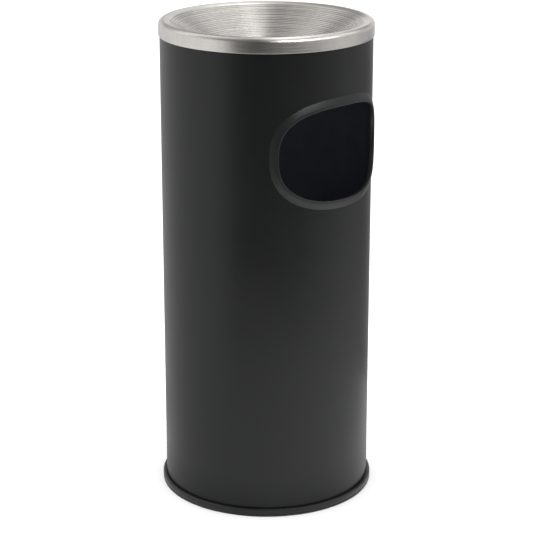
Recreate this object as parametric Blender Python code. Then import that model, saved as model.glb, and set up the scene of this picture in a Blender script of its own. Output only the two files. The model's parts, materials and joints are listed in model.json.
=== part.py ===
"""Ashtray bin: a round steel litter bin with a lift-off ridged ash dish on top, a waste opening in
the wall, and a galvanised liner bucket inside. Metres, +Z up, origin at the centre of the foot,
with the waste opening facing -Y."""

import math

import bmesh
import bpy

# Driving dimensions -------------------------------------------------------------------------
TOTAL_HEIGHT = 0.576
BODY_RADIUS = 0.125
RIM_RADIUS = 0.1264
FOOT_RADIUS = 0.1293
OPENING_HALF_WIDTH = 0.095  # measured along the wall, to the outer edge of the trim
OPENING_HALF_HEIGHT = 0.065
OPENING_CENTRE_Z = 0.438
OPENING_POWER = 2.5  # 2 is an ellipse, more is squarer
LINER_RADIUS = 0.112
LINER_TOP_Z = 0.296

# Sheet thicknesses and the gap kept between touching pieces
SHELL_SHEET = 0.0008
DISH_SHEET = 0.0006
LINER_SHEET = 0.0006
GAP = 0.0003

# How finely round pieces are divided
SEGMENTS = 64
LINER_SEGMENTS = 48
OPENING_SEGMENTS = 56

# Foot ring: a moulded channel that holds the shell's lower edge and the floor plate's flange
FOOT_HEIGHT = 0.0095
FOOT_FLOOR = 0.003
FOOT_INNER_RADIUS = 0.1205
SHELL_FOOT_Z = FOOT_FLOOR + GAP
SHELL_INNER_RADIUS = BODY_RADIUS - SHELL_SHEET

# Floor plate: a flanged disc with a raised centre
PLATE_Z = 0.008
PLATE_RADIUS = SHELL_INNER_RADIUS - GAP
PLATE_RISE = 0.003
PLATE_RISE_RADIUS = 0.097

# Ash dish: skirt, rolled crest and a ridged bowl. Depths are below the crest.
CREST_RADIUS = 0.008
SKIRT_DEPTH = 0.018
HEM_WIDTH = 0.0011
HEM_HEIGHT = 0.003
BOWL_SLOPE = 0.64
BOWL_END_RADIUS = 0.026
BOWL_FILLET = 0.012
CREST_CENTRE_R = RIM_RADIUS - CREST_RADIUS

# Shell top: a hem folded inwards, close under the dish's crest
SHELL_TOP_Z = TOTAL_HEIGHT - 0.0056
SHELL_HEM_SHEET = 0.0009
SHELL_HEM_HEIGHT = 0.010

# Opening trim: a moulded edging with a wide outer flange and a narrow inner one
TRIM_WIDTH = 0.0105
TRIM_WEB = 0.0015
TRIM_PROUD = 0.003
TRIM_INSIDE = 0.0028
TRIM_INNER_FLANGE = 0.006
TRIM_BACK_GAP = 0.0005
CUT_INSET = TRIM_WIDTH - TRIM_WEB - GAP

# Liner bucket. Heights are above its own foot.
LINER_FOOT_Z = PLATE_Z + SHELL_SHEET + GAP
LINER_HEIGHT = LINER_TOP_Z - LINER_FOOT_Z
LINER_INNER_RADIUS = LINER_RADIUS - LINER_SHEET
LINER_DISC_Z = 0.007
RIM_WIRE = 0.0014
RIM_CURL = RIM_WIRE + GAP + LINER_SHEET
RIM_CENTRE_R = LINER_INNER_RADIUS + RIM_CURL
RIM_CENTRE_Z = LINER_HEIGHT - RIM_CURL

# Bail handle, its ears and its rivets
BAIL_WIRE = 0.00225
BAIL_RADIUS = 0.1145
BAIL_BEND = 0.0032
BAIL_HOOK = 0.007
BAIL_HOOK_X = 0.1045
GRIP_RADIUS = 0.0046
GRIP_HALF_ANGLE = math.radians(20)
PIVOT_Z = LINER_HEIGHT + BAIL_WIRE + 0.00055
REST_TILT = math.asin((GRIP_RADIUS + GAP - (PIVOT_Z - LINER_HEIGHT)) / BAIL_RADIUS) + 0.0005
EAR_OUTER_X = 0.1104
EAR_SHEET = 0.0015
EAR_HALF_WIDTH = 0.010
EAR_EYE = 0.0027
EAR_TOP_RADIUS = 0.0075
EAR_DROP = 0.036
RIVET_SHANK = 0.0016
RIVET_HOLE = RIVET_SHANK + GAP
RIVET_HEAD = 0.004
RIVET_HEAD_HEIGHT = 0.0014
RIVET_SPACING = 0.0055
RIVET_DROP = 0.026


# Tools --------------------------------------------------------------------------------------
def material(name, colour, roughness, metallic):
    """A plain Principled material."""
    made = bpy.data.materials.new(name)
    made.use_nodes = True
    shader = made.node_tree.nodes["Principled BSDF"]
    shader.inputs["Base Color"].default_value = (*colour, 1.0)
    shader.inputs["Roughness"].default_value = roughness
    shader.inputs["Metallic"].default_value = metallic
    return made


def link(name, data, finish, parent=None, location=(0, 0, 0), rotation=(0, 0, 0)):
    """A named object in the scene, with one material."""
    made = bpy.data.objects.new(name, data)
    bpy.context.scene.collection.objects.link(made)
    made.location = location
    made.rotation_euler = rotation
    made.parent = parent
    if finish:
        made.data.materials.append(finish)
    return made


def joint_empty(name, location, rotation=(0, 0, 0), parent=None):
    """An empty on a joint's axis, to which the pieces that move about it are parented."""
    made = bpy.data.objects.new(name, None)
    bpy.context.scene.collection.objects.link(made)
    made.location = location
    made.rotation_euler = rotation
    made.parent = parent
    return made


def mesh_from(name, bm):
    """Closes off a bmesh as a mesh with outward faces and smooth round sides."""
    bm.normal_update()
    bmesh.ops.recalc_face_normals(bm, faces=bm.faces)
    mesh = bpy.data.meshes.new(name)
    bm.to_mesh(mesh)
    bm.free()
    mesh.shade_smooth()
    mesh.set_sharp_from_angle(angle=math.radians(40))
    return mesh


def turned_mesh(name, outline, segments, axis=(0, 0, 1)):
    """Spins (radius, height) points about the axis. A closed outline makes a ring. An outline whose
    two ends have no radius makes a solid of revolution."""
    on_axis = outline[0][0] == 0 and outline[-1][0] == 0
    across = (1, 0, 0) if axis[2] else (0, 0, 1)
    bm = bmesh.new()
    points = []
    for radius, height in outline:
        points.append(bm.verts.new([radius * a + height * b for a, b in zip(across, axis)]))
    pairs = list(zip(points, points[1:]))
    if not on_axis:
        pairs.append((points[-1], points[0]))
    edges = [bm.edges.new(pair) for pair in pairs]
    bmesh.ops.spin(
        bm, geom=points + edges, cent=(0, 0, 0), axis=axis,
        angle=math.tau, steps=segments, use_merge=True,
    )
    bmesh.ops.remove_doubles(bm, verts=bm.verts, dist=1e-6)
    return mesh_from(name, bm)


def grid_mesh(name, rings, capped=False):
    """Joins equal rings of points, each to the next. Without caps the last ring joins the first."""
    bm = bmesh.new()
    rows = [[bm.verts.new(point) for point in ring] for ring in rings]
    pairs = list(zip(rows, rows[1:]))
    if not capped:
        pairs.append((rows[-1], rows[0]))
    for near, far in pairs:
        for i in range(len(near)):
            j = (i + 1) % len(near)
            bm.faces.new((near[i], near[j], far[j], far[i]))
    if capped:
        bm.faces.new(rows[0])
        bm.faces.new(rows[-1])
    return mesh_from(name, bm)


def arc(centre, radius, start, end, steps):
    """Points on an arc in the (radius, height) plane, angles in degrees, both ends included."""
    found = []
    for i in range(steps + 1):
        angle = math.radians(start + (end - start) * i / steps)
        found.append((centre[0] + radius * math.cos(angle), centre[1] + radius * math.sin(angle)))
    return found


def cut(target, cutter):
    """Cuts a hidden cutter out of the target."""
    cutter.hide_render = True
    cutter.display_type = "WIRE"
    modifier = target.modifiers.new("cut_" + cutter.name, "BOOLEAN")
    modifier.operation = "DIFFERENCE"
    modifier.solver = "EXACT"
    modifier.object = cutter


# The waste opening's outline ----------------------------------------------------------------
def outline_point(turn):
    """A point of the trim's outer outline, and the direction out of it, as (along the wall, up)."""
    x = math.copysign(abs(math.cos(turn)) ** (2 / OPENING_POWER), math.cos(turn))
    z = math.copysign(abs(math.sin(turn)) ** (2 / OPENING_POWER), math.sin(turn))
    across = math.copysign(abs(x) ** (OPENING_POWER - 1), x) / OPENING_HALF_WIDTH
    up = math.copysign(abs(z) ** (OPENING_POWER - 1), z) / OPENING_HALF_HEIGHT
    length = math.hypot(across, up)
    return (x * OPENING_HALF_WIDTH, z * OPENING_HALF_HEIGHT), (across / length, up / length)


def even_outline():
    """The outline's points and outward directions, evenly spaced along it."""
    fine = [outline_point(math.tau * (i + 0.5) / 4000) for i in range(4000)]
    lengths = [0.0]
    for (here, _), (there, _) in zip(fine, fine[1:]):
        lengths.append(lengths[-1] + math.dist(here, there))
    found = []
    index = 0
    for step in range(OPENING_SEGMENTS):
        wanted = lengths[-1] * step / OPENING_SEGMENTS
        while lengths[index] < wanted:
            index += 1
        found.append(fine[index])
    return found


def on_wall(point, outward, inset, radius):
    """An outline point moved in by inset, wrapped round the body at that radius."""
    along = point[0] - outward[0] * inset
    angle = along / BODY_RADIUS
    z = OPENING_CENTRE_Z + point[1] - outward[1] * inset
    return (radius * math.sin(angle), -radius * math.cos(angle), z)


# The bin ------------------------------------------------------------------------------------
def opening_cutter():
    """A plug of the opening's shape that passes right through the wall."""
    depths = (BODY_RADIUS - 0.012, BODY_RADIUS + 0.012)
    edge = even_outline()
    bm = bmesh.new()
    rings = []
    for radius in depths:
        ring = [bm.verts.new(on_wall(p, out, CUT_INSET, radius)) for p, out in edge]
        middle = bm.verts.new((0, -radius, OPENING_CENTRE_Z))
        for i, vert in enumerate(ring):
            bm.faces.new((middle, vert, ring[(i + 1) % len(ring)]))
        rings.append(ring)
    for i in range(len(edge)):
        j = (i + 1) % len(edge)
        bm.faces.new((rings[0][i], rings[0][j], rings[1][j], rings[1][i]))
    return link("opening_cutter", mesh_from("opening_cutter", bm), None)


def body_shell(finish):
    """The rolled steel wall, with a folded hem at the top and the waste opening cut in it."""
    hem_radius = SHELL_INNER_RADIUS - SHELL_HEM_SHEET
    outline = [
        (BODY_RADIUS, SHELL_FOOT_Z),
        (BODY_RADIUS, SHELL_TOP_Z),
        (hem_radius, SHELL_TOP_Z),
        (hem_radius, SHELL_TOP_Z - SHELL_HEM_HEIGHT),
        (SHELL_INNER_RADIUS, SHELL_TOP_Z - SHELL_HEM_HEIGHT),
        (SHELL_INNER_RADIUS, SHELL_FOOT_Z),
    ]
    shell = link("body_shell", turned_mesh("body_shell", outline, SEGMENTS), finish)
    cut(shell, opening_cutter())
    return shell


def floor_plate(finish):
    """The pressed floor: a raised centre, and a flange turned down inside the shell's foot."""
    top = PLATE_Z + SHELL_SHEET
    ramp_end = PLATE_RISE_RADIUS + PLATE_RISE
    outline = [
        (0, top + PLATE_RISE),
        (PLATE_RISE_RADIUS, top + PLATE_RISE),
        (ramp_end, top),
        (PLATE_RADIUS, top),
        (PLATE_RADIUS, SHELL_FOOT_Z),
        (PLATE_RADIUS - SHELL_SHEET, SHELL_FOOT_Z),
        (PLATE_RADIUS - SHELL_SHEET, PLATE_Z),
        (ramp_end - SHELL_SHEET / 2, PLATE_Z),
        (PLATE_RISE_RADIUS - SHELL_SHEET / 2, PLATE_Z + PLATE_RISE),
        (0, PLATE_Z + PLATE_RISE),
    ]
    return link("floor_plate", turned_mesh("floor_plate", outline, SEGMENTS), finish)


def foot_ring(finish):
    """The moulded ring under the shell, whose channel takes the shell's edge and the flange."""
    groove_outer = BODY_RADIUS + GAP
    groove_inner = PLATE_RADIUS - SHELL_SHEET - GAP
    outline = [
        (FOOT_INNER_RADIUS, 0.0006),
        (FOOT_INNER_RADIUS + 0.0006, 0),
        (FOOT_RADIUS - 0.001, 0),
        (FOOT_RADIUS, 0.001),
        (FOOT_RADIUS, FOOT_HEIGHT - 0.0022),
        (FOOT_RADIUS - 0.0007, FOOT_HEIGHT - 0.0006),
        (FOOT_RADIUS - 0.0021, FOOT_HEIGHT),
        (groove_outer, FOOT_HEIGHT),
        (groove_outer, FOOT_FLOOR),
        (groove_inner, FOOT_FLOOR),
        (groove_inner, PLATE_Z - GAP),
        (FOOT_INNER_RADIUS, PLATE_Z - GAP),
    ]
    return link("foot_ring", turned_mesh("foot_ring", outline, SEGMENTS), finish)


def trim_section():
    """The trim's section as (inset from its outer edge, radius), once round it."""
    outside = BODY_RADIUS + GAP
    inside = SHELL_INNER_RADIUS - TRIM_BACK_GAP
    back = BODY_RADIUS - TRIM_INSIDE
    lip = TRIM_WIDTH
    return [
        (0.0, outside),
        (0.0004, outside + 0.0008),
        (0.0030, BODY_RADIUS + 0.72 * TRIM_PROUD),
        (lip - 0.0042, BODY_RADIUS + 0.95 * TRIM_PROUD),
        (lip - 0.0022, BODY_RADIUS + TRIM_PROUD),
        (lip - 0.0007, BODY_RADIUS + 0.88 * TRIM_PROUD),
        (lip, BODY_RADIUS + 0.55 * TRIM_PROUD),
        (lip, back + 0.0006),
        (lip - 0.0006, back),
        (lip - TRIM_INNER_FLANGE + 0.0005, back),
        (lip - TRIM_INNER_FLANGE, back + 0.0005),
        (lip - TRIM_INNER_FLANGE, inside),
        (lip - TRIM_WEB, inside),
        (lip - TRIM_WEB, outside),
    ]


def opening_trim(finish):
    """The moulded edging that grips the cut edge of the shell all round the waste opening."""
    section = trim_section()
    rings = []
    for point, outward in even_outline():
        rings.append([on_wall(point, outward, inset, radius) for inset, radius in section])
    return link("opening_trim", grid_mesh("opening_trim", rings), finish)


# The ash dish -------------------------------------------------------------------------------
def crest_end_angle():
    """Where the rolled crest meets the cone, in degrees round the crest's centre."""
    return 90 + math.degrees(math.atan(BOWL_SLOPE))


def bowl_points(below):
    """The conical bowl down to its flat, at a distance below its upper face."""
    cone = math.atan(BOWL_SLOPE)
    start_r = CREST_CENTRE_R - CREST_RADIUS * math.sin(cone)
    start_z = CREST_RADIUS * (math.cos(cone) - 1)
    end_r = BOWL_END_RADIUS + below * math.sin(cone)
    end_z = start_z - BOWL_SLOPE * (start_r - BOWL_END_RADIUS) - below * math.cos(cone)
    fillet = BOWL_FILLET + below
    centre = (end_r - fillet * math.sin(cone), end_z + fillet * math.cos(cone))
    return arc(centre, fillet, -90 + math.degrees(cone), -90, 3)


def ash_dish(finish, parent):
    """The spun stainless dish: a hemmed skirt, a rolled crest and a conical bowl."""
    centre = (CREST_CENTRE_R, -CREST_RADIUS)
    inner_crest = CREST_RADIUS - DISH_SHEET
    upper = [
        (RIM_RADIUS - 0.0003, -SKIRT_DEPTH),
        (RIM_RADIUS, -SKIRT_DEPTH + 0.0006),
        *arc(centre, CREST_RADIUS, 0, crest_end_angle(), 8),
        *bowl_points(0),
    ]
    upper.append((0, upper[-1][1]))
    lower = [
        (RIM_RADIUS - HEM_WIDTH + 0.0003, -SKIRT_DEPTH),
        (RIM_RADIUS - HEM_WIDTH, -SKIRT_DEPTH + 0.0006),
        (RIM_RADIUS - HEM_WIDTH, -SKIRT_DEPTH + HEM_HEIGHT),
        (RIM_RADIUS - DISH_SHEET, -SKIRT_DEPTH + HEM_HEIGHT + 0.0005),
        *arc(centre, inner_crest, 0, crest_end_angle(), 8),
        *bowl_points(DISH_SHEET),
    ]
    lower.append((0, lower[-1][1]))
    outline = list(reversed(upper)) + lower
    return link("ash_dish", turned_mesh("ash_dish", outline, SEGMENTS), finish, parent)


# The liner ----------------------------------------------------------------------------------
def rivet_places():
    """Each ear's rivets, as (side, across, height above the liner's foot)."""
    for side in (1, -1):
        for across in (RIVET_SPACING, -RIVET_SPACING):
            yield side, across, PIVOT_Z - RIVET_DROP


def hole_cutter(name, parent, radius, places):
    """Rods along X, in one cutter, that make round holes at (x, y, z) places."""
    bm = bmesh.new()
    for place in places:
        made = bmesh.ops.create_cone(
            bm, cap_ends=True, segments=12, radius1=radius, radius2=radius, depth=0.012
        )["verts"]
        for vert in made:
            vert.co = (vert.co.z + place[0], vert.co.x + place[1], vert.co.y + place[2])
    return link(name, mesh_from(name, bm), None, parent)


def liner_wall(finish, parent):
    """The bucket's wall, whose top edge is rolled outwards round a wire."""
    centre = (RIM_CENTRE_R, RIM_CENTRE_Z)
    outline = [
        (LINER_INNER_RADIUS, 0),
        *arc(centre, RIM_CURL, 180, -110, 8),
        *arc(centre, RIM_CURL - LINER_SHEET, -110, 180, 8),
        (LINER_RADIUS, 0),
    ]
    wall = link("liner_wall", turned_mesh("liner_wall", outline, LINER_SEGMENTS), finish, parent)
    places = [(side * LINER_RADIUS, y, z) for side, y, z in rivet_places()]
    cut(wall, hole_cutter("wall_hole_cutter", parent, RIVET_HOLE, places))
    return wall


def rim_wire(finish, parent):
    """The wire ring rolled into the bucket's rim."""
    outline = arc((RIM_CENTRE_R, RIM_CENTRE_Z), RIM_WIRE, 0, 315, 7)
    return link("liner_rim_wire", turned_mesh("liner_rim_wire", outline, LINER_SEGMENTS), finish, parent)


def liner_floor(finish, parent):
    """The bucket's floor, with a flange turned down inside the wall."""
    radius = LINER_INNER_RADIUS - GAP
    outline = [
        (0, LINER_DISC_Z + LINER_SHEET),
        (radius, LINER_DISC_Z + LINER_SHEET),
        (radius, GAP),
        (radius - LINER_SHEET, GAP),
        (radius - LINER_SHEET, LINER_DISC_Z),
        (0, LINER_DISC_Z),
    ]
    return link("liner_floor", turned_mesh("liner_floor", outline, LINER_SEGMENTS), finish, parent)


def ear(name, side, finish, parent):
    """A lug riveted inside the wall, with an eye above the rim for the bail."""
    top = arc((0, PIVOT_Z), EAR_TOP_RADIUS, 0, 180, 8)
    low = PIVOT_Z - EAR_DROP
    outline = [
        (-EAR_HALF_WIDTH, PIVOT_Z - 0.013),
        (-EAR_HALF_WIDTH, low + 0.003),
        (-EAR_HALF_WIDTH + 0.003, low),
        (EAR_HALF_WIDTH - 0.003, low),
        (EAR_HALF_WIDTH, low + 0.003),
        (EAR_HALF_WIDTH, PIVOT_Z - 0.013),
        *top,
    ]
    faces_x = (side * EAR_OUTER_X, side * (EAR_OUTER_X - EAR_SHEET))
    rings = [[(x, y, z) for y, z in outline] for x in faces_x]
    made = link(name, grid_mesh(name, rings, capped=True), finish, parent)
    middle = side * (EAR_OUTER_X - EAR_SHEET / 2)
    cut(made, hole_cutter(name + "_eye_cutter", parent, EAR_EYE, [(middle, 0, PIVOT_Z)]))
    places = [(middle, y, z) for s, y, z in rivet_places() if s == side]
    cut(made, hole_cutter(name + "_hole_cutter", parent, RIVET_HOLE, places))
    return made


def ear_rivets(finish, parent):
    """The four rivets that hold the ears, two to an ear, with a domed head at each end."""
    inner_face = EAR_OUTER_X - EAR_SHEET - GAP
    outer_face = LINER_RADIUS + GAP
    outline = [
        (0, inner_face - RIVET_HEAD_HEIGHT),
        (RIVET_HEAD * 0.65, inner_face - RIVET_HEAD_HEIGHT),
        (RIVET_HEAD, inner_face),
        (RIVET_SHANK, inner_face),
        (RIVET_SHANK, outer_face),
        (RIVET_HEAD, outer_face),
        (RIVET_HEAD * 0.65, outer_face + RIVET_HEAD_HEIGHT),
        (0, outer_face + RIVET_HEAD_HEIGHT),
    ]
    rivet = turned_mesh("ear_rivet", outline, 12, axis=(1, 0, 0))
    rivet.materials.append(finish)
    for side, y, z in rivet_places():
        name = "ear_rivet_" + ("right_" if side > 0 else "left_") + ("back" if y > 0 else "front")
        link(name, rivet, None, parent, (0, y, z), (0, 0, 0 if side > 0 else math.pi))


def bail_half():
    """Half of the bail's centre line, in its own plane, from a hooked end to the middle."""
    bend = BAIL_BEND
    points = [(BAIL_HOOK_X, 0.0, BAIL_HOOK)]
    for x, z in arc((BAIL_HOOK_X + bend, bend), bend, 180, 270, 4):
        points.append((x, 0.0, z))
    for x, y in arc((BAIL_RADIUS - bend, bend), bend, -90, 0, 4):
        points.append((x, y, 0.0))
    start = math.degrees(math.asin(bend / BAIL_RADIUS))
    for x, y in arc((0, 0), BAIL_RADIUS, start, 90, 16)[1:]:
        points.append((x, y, 0.0))
    return points


def bail(finish, parent):
    """The wire handle, hooked through both ears."""
    right = bail_half()
    left = [(-x, y, z) for x, y, z in reversed(right[:-1])]
    points = right + left
    curve = bpy.data.curves.new("bail", "CURVE")
    curve.dimensions = "3D"
    curve.bevel_depth = BAIL_WIRE
    curve.bevel_resolution = 3
    curve.use_fill_caps = True
    spline = curve.splines.new("POLY")
    spline.points.add(len(points) - 1)
    for place, point in zip(spline.points, points):
        place.co = (*point, 1.0)
    return link("bail", curve, finish, parent)


def grip_ring(share, radius):
    """A ring of points round the bail's wire, at a share of the way along the grip."""
    turn = math.pi / 2 + GRIP_HALF_ANGLE * (2 * share - 1)
    ring = []
    for i in range(12):
        around = math.tau * i / 12
        out = BAIL_RADIUS + radius * math.cos(around)
        ring.append((out * math.cos(turn), out * math.sin(turn), radius * math.sin(around)))
    return ring


def bail_grip(finish, parent):
    """The plastic sleeve over the middle of the bail."""
    shares = [step / 9 for step in range(10)]
    outer = [grip_ring(share, GRIP_RADIUS) for share in shares]
    inner = [grip_ring(share, BAIL_WIRE + GAP) for share in reversed(shares)]
    return link("bail_grip", grid_mesh("bail_grip", outer + inner), finish, parent)


def build():
    """Clears the scene and makes every piece of the bin."""
    for old in list(bpy.data.objects):
        bpy.data.objects.remove(old, do_unlink=True)
    black_coat = material("black_coat", (0.018, 0.019, 0.020), 0.45, 0.0)
    black_plastic = material("black_plastic", (0.022, 0.023, 0.024), 0.50, 0.0)
    stainless = material("stainless", (0.60, 0.59, 0.57), 0.30, 1.0)
    galvanised = material("galvanised", (0.50, 0.52, 0.54), 0.45, 1.0)
    zinc_wire = material("zinc_wire", (0.55, 0.56, 0.58), 0.30, 1.0)

    body_shell(black_coat)
    floor_plate(black_coat)
    foot_ring(black_plastic)
    opening_trim(black_plastic)

    dish_slide = joint_empty("dish_slide", (0, 0, TOTAL_HEIGHT))
    ash_dish(stainless, dish_slide)

    liner_slide = joint_empty("liner_slide", (0, 0, LINER_FOOT_Z))
    liner_wall(galvanised, liner_slide)
    rim_wire(zinc_wire, liner_slide)
    liner_floor(galvanised, liner_slide)
    ear("ear_right", 1, galvanised, liner_slide)
    ear("ear_left", -1, galvanised, liner_slide)
    ear_rivets(zinc_wire, liner_slide)

    bail_pivot = joint_empty("bail_pivot", (0, 0, PIVOT_Z), (REST_TILT, 0, 0), liner_slide)
    bail(zinc_wire, bail_pivot)
    bail_grip(black_plastic, bail_pivot)


build()
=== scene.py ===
"""The looks of the ashtray bin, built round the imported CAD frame. Metres, +Z up. The waste opening
faces -Y, and the camera stands off the bin's front left, at azimuth -45."""

import json
import math

import bmesh
import bpy
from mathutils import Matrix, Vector


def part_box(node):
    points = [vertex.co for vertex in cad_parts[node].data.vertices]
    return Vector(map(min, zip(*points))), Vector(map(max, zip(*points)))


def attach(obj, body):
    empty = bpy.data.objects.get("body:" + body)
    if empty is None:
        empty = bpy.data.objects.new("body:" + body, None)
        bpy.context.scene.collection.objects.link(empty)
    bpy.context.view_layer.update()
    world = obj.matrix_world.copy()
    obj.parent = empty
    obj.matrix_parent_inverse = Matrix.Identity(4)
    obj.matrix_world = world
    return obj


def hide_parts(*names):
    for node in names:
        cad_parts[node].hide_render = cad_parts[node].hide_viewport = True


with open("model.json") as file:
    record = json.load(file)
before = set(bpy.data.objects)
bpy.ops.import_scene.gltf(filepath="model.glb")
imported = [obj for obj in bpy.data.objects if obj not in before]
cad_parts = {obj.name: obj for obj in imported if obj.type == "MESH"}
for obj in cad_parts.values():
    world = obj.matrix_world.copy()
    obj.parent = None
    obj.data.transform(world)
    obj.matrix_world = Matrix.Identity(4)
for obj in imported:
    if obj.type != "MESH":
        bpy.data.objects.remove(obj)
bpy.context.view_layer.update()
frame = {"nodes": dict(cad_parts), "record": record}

# The bin's sizes, as the CAD has them -------------------------------------------------------
MM = 0.001
TOTAL_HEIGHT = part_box("ash_dish")[1].z
RIM_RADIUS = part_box("ash_dish")[1].x
WALL_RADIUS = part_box("body_shell")[1].x
WALL_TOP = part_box("body_shell")[1].z
WALL_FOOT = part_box("body_shell")[0].z
FOOT_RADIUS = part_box("foot_ring")[1].x
FOOT_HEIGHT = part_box("foot_ring")[1].z
PLATE_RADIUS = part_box("floor_plate")[1].x
LINER_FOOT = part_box("liner_wall")[0].z
LINER_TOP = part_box("liner_wall")[1].z
OPENING_CENTRE_Z = (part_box("opening_trim")[0].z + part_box("opening_trim")[1].z) / 2
PIVOT_Z = frame["record"]["behaviour"]["joints"][1]["pos_m"][2]

SHEET = 0.8 * MM
THIN_SHEET = 0.6 * MM
GAP = 0.3 * MM

ROUND = 160  # columns round the large turned pieces
LINER_ROUND = 128

# Waste opening: a superellipse wrapped round the wall
OPENING_HALF_WIDTH = 95 * MM
OPENING_HALF_HEIGHT = 65 * MM
OPENING_POWER = 2.5
TRIM_WIDTH = 10.5 * MM
TRIM_PROUD = 3.0 * MM

# Dish
CREST_RADIUS = 6 * MM
CREST_CENTRE_R = RIM_RADIUS - CREST_RADIUS
BOWL_SLOPE = 0.64
BOWL_END_RADIUS = 26 * MM
BOWL_FILLET = 12 * MM
COLLAR_SLOPE = 0.338
RIDGE_START = 112.3 * MM
RIDGES = 35
RIDGE_PITCH = (RIDGE_START - BOWL_END_RADIUS) / RIDGES
RIDGE_HEIGHT = 0.50 * MM
SKIRT_DEPTH = 18 * MM
HEM_RADIUS = 0.55 * MM

# Liner
LINER_RADIUS = 112 * MM
LINER_INNER_RADIUS = LINER_RADIUS - THIN_SHEET
RIM_WIRE = 1.4 * MM
RIM_CURL = RIM_WIRE + GAP + THIN_SHEET
RIM_CENTRE = (LINER_INNER_RADIUS + RIM_CURL, LINER_TOP - RIM_CURL)

# Bail
BAIL_WIRE = 2.25 * MM
BAIL_RADIUS = 114.5 * MM
BAIL_BEND = 3.2 * MM
BAIL_HOOK = 7 * MM
BAIL_HOOK_X = 104.5 * MM
BAIL_TILT = math.radians(1.08)
GRIP_RADIUS = 4.6 * MM
GRIP_HALF_ANGLE = math.radians(20)

# Camera
CAMERA_AZIMUTH = math.radians(-45)
CAMERA_DISTANCE = 2.099
CAMERA_HEIGHT = 0.9436
CAMERA_PITCH = 0.3095
CAMERA_LENS = 122.5
RIGHT = Vector((math.cos(CAMERA_AZIMUTH), math.sin(CAMERA_AZIMUTH), 0))
AHEAD = Vector((-math.sin(CAMERA_AZIMUTH), math.cos(CAMERA_AZIMUTH), 0))

# Studio
LIGHT_AIM = Vector((0, 0, 0.3))  # what the lights face
SURROUND_STRENGTH = 1.4
FLOOR_HALF_WIDTH = 12.0
SCREEN_RADIUS = 0.60
SCREEN_FORWARD = 0.24
SCREEN_HEIGHT = 0.56
SCREEN_RISE = 0.3  # added height for each metre from the bin's axis
TABLE_INNER = 0.13
TABLE_OUTER = 1.2
TENT_RADIUS = 4.0


# Meshes -------------------------------------------------------------------------------------
def arc(centre, radius, start, end, steps):
    """Points on an arc in the (radius, height) plane, angles in degrees, both ends included."""
    found = []
    for i in range(steps + 1):
        angle = math.radians(start + (end - start) * i / steps)
        found.append((centre[0] + radius * math.cos(angle), centre[1] + radius * math.sin(angle)))
    return found


def finished(name, bm, sharp=40):
    """A bmesh as a mesh with outward faces, smooth but for edges over the sharp angle."""
    bm.normal_update()
    bmesh.ops.recalc_face_normals(bm, faces=bm.faces)
    mesh = bpy.data.meshes.new(name)
    bm.to_mesh(mesh)
    bm.free()
    mesh.shade_smooth()
    mesh.set_sharp_from_angle(angle=math.radians(sharp))
    return mesh


def rows_to_mesh(name, rows, around=True, along=False, caps=False, sharp=40):
    """Quads between rows of points. A row of one point closes to a tip. around joins each row's
    ends, along joins the last row to the first, and caps closes the first and last rows."""
    bm = bmesh.new()
    made = [[bm.verts.new(point) for point in row] for row in rows]
    pairs = list(zip(made, made[1:]))
    if along:
        pairs.append((made[-1], made[0]))
    for near, far in pairs:
        count = max(len(near), len(far))
        for i in range(count if around else count - 1):
            j = (i + 1) % count
            corners = [near[i % len(near)], near[j % len(near)], far[j % len(far)], far[i % len(far)]]
            bm.faces.new(list(dict.fromkeys(corners)))
    if caps:
        bm.faces.new(made[0])
        bm.faces.new(made[-1])
    return finished(name, bm, sharp)


def turned(name, outline, columns, sharp=40, swell=None):
    """A solid of revolution. Its outline is a closed loop of (radius, height), or runs from axis to
    axis. swell adds to the radius by angle and height. columns is a count or a list of angles."""
    angles = columns
    if isinstance(columns, int):
        angles = [math.tau * i / columns for i in range(columns)]
    rows = []
    for radius, height in outline:
        if radius == 0:
            rows.append([(0, 0, height)])
            continue
        row = []
        for angle in angles:
            r = radius + (swell(angle, radius, height) if swell else 0)
            row.append((r * math.cos(angle), r * math.sin(angle), height))
        rows.append(row)
    on_axis = outline[0][0] == 0 and outline[-1][0] == 0
    return rows_to_mesh(name, rows, along=not on_axis, sharp=sharp)


def tube(name, points, radii, sides, sharp=40):
    """A round bar along points, with a radius at each, closed at both ends."""
    rows = []
    normal = None
    for i, point in enumerate(points):
        here = Vector(point)
        ahead = Vector(points[min(i + 1, len(points) - 1)])
        behind = Vector(points[max(i - 1, 0)])
        along = (ahead - behind).normalized()
        if normal is None:
            normal = along.orthogonal().normalized()
        normal = (normal - along * normal.dot(along)).normalized()
        other = along.cross(normal)
        row = []
        for k in range(sides):
            turn = math.tau * k / sides
            row.append(here + radii[i] * (normal * math.cos(turn) + other * math.sin(turn)))
        rows.append(row)
    return rows_to_mesh(name, rows, caps=True, sharp=sharp)


def placed(name, mesh):
    """A mesh as an object in the scene."""
    made = bpy.data.objects.new(name, mesh)
    bpy.context.scene.collection.objects.link(made)
    return made


def piece(name, mesh, finishes, body, nodes):
    """One visible piece: its finish, the body that it rides on and the CAD nodes it stands for."""
    made = placed(name, mesh)
    for finish in finishes:
        made.data.materials.append(finish)
    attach(made, body)
    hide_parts(*nodes)
    return made


def carved(mesh, cutters, sharp=40):
    """The mesh with the cutter meshes taken out of it."""
    target = placed("carved", mesh)
    helpers = [placed("cutter", cutter) for cutter in cutters]
    for helper in helpers:
        modifier = target.modifiers.new("cut", "BOOLEAN")
        modifier.operation = "DIFFERENCE"
        modifier.solver = "EXACT"
        modifier.object = helper
    depsgraph = bpy.context.evaluated_depsgraph_get()
    result = bpy.data.meshes.new_from_object(target.evaluated_get(depsgraph))
    for used in [target, *helpers]:
        bpy.data.objects.remove(used)
    result.shade_smooth()
    result.set_sharp_from_angle(angle=math.radians(sharp))
    return result


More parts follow.
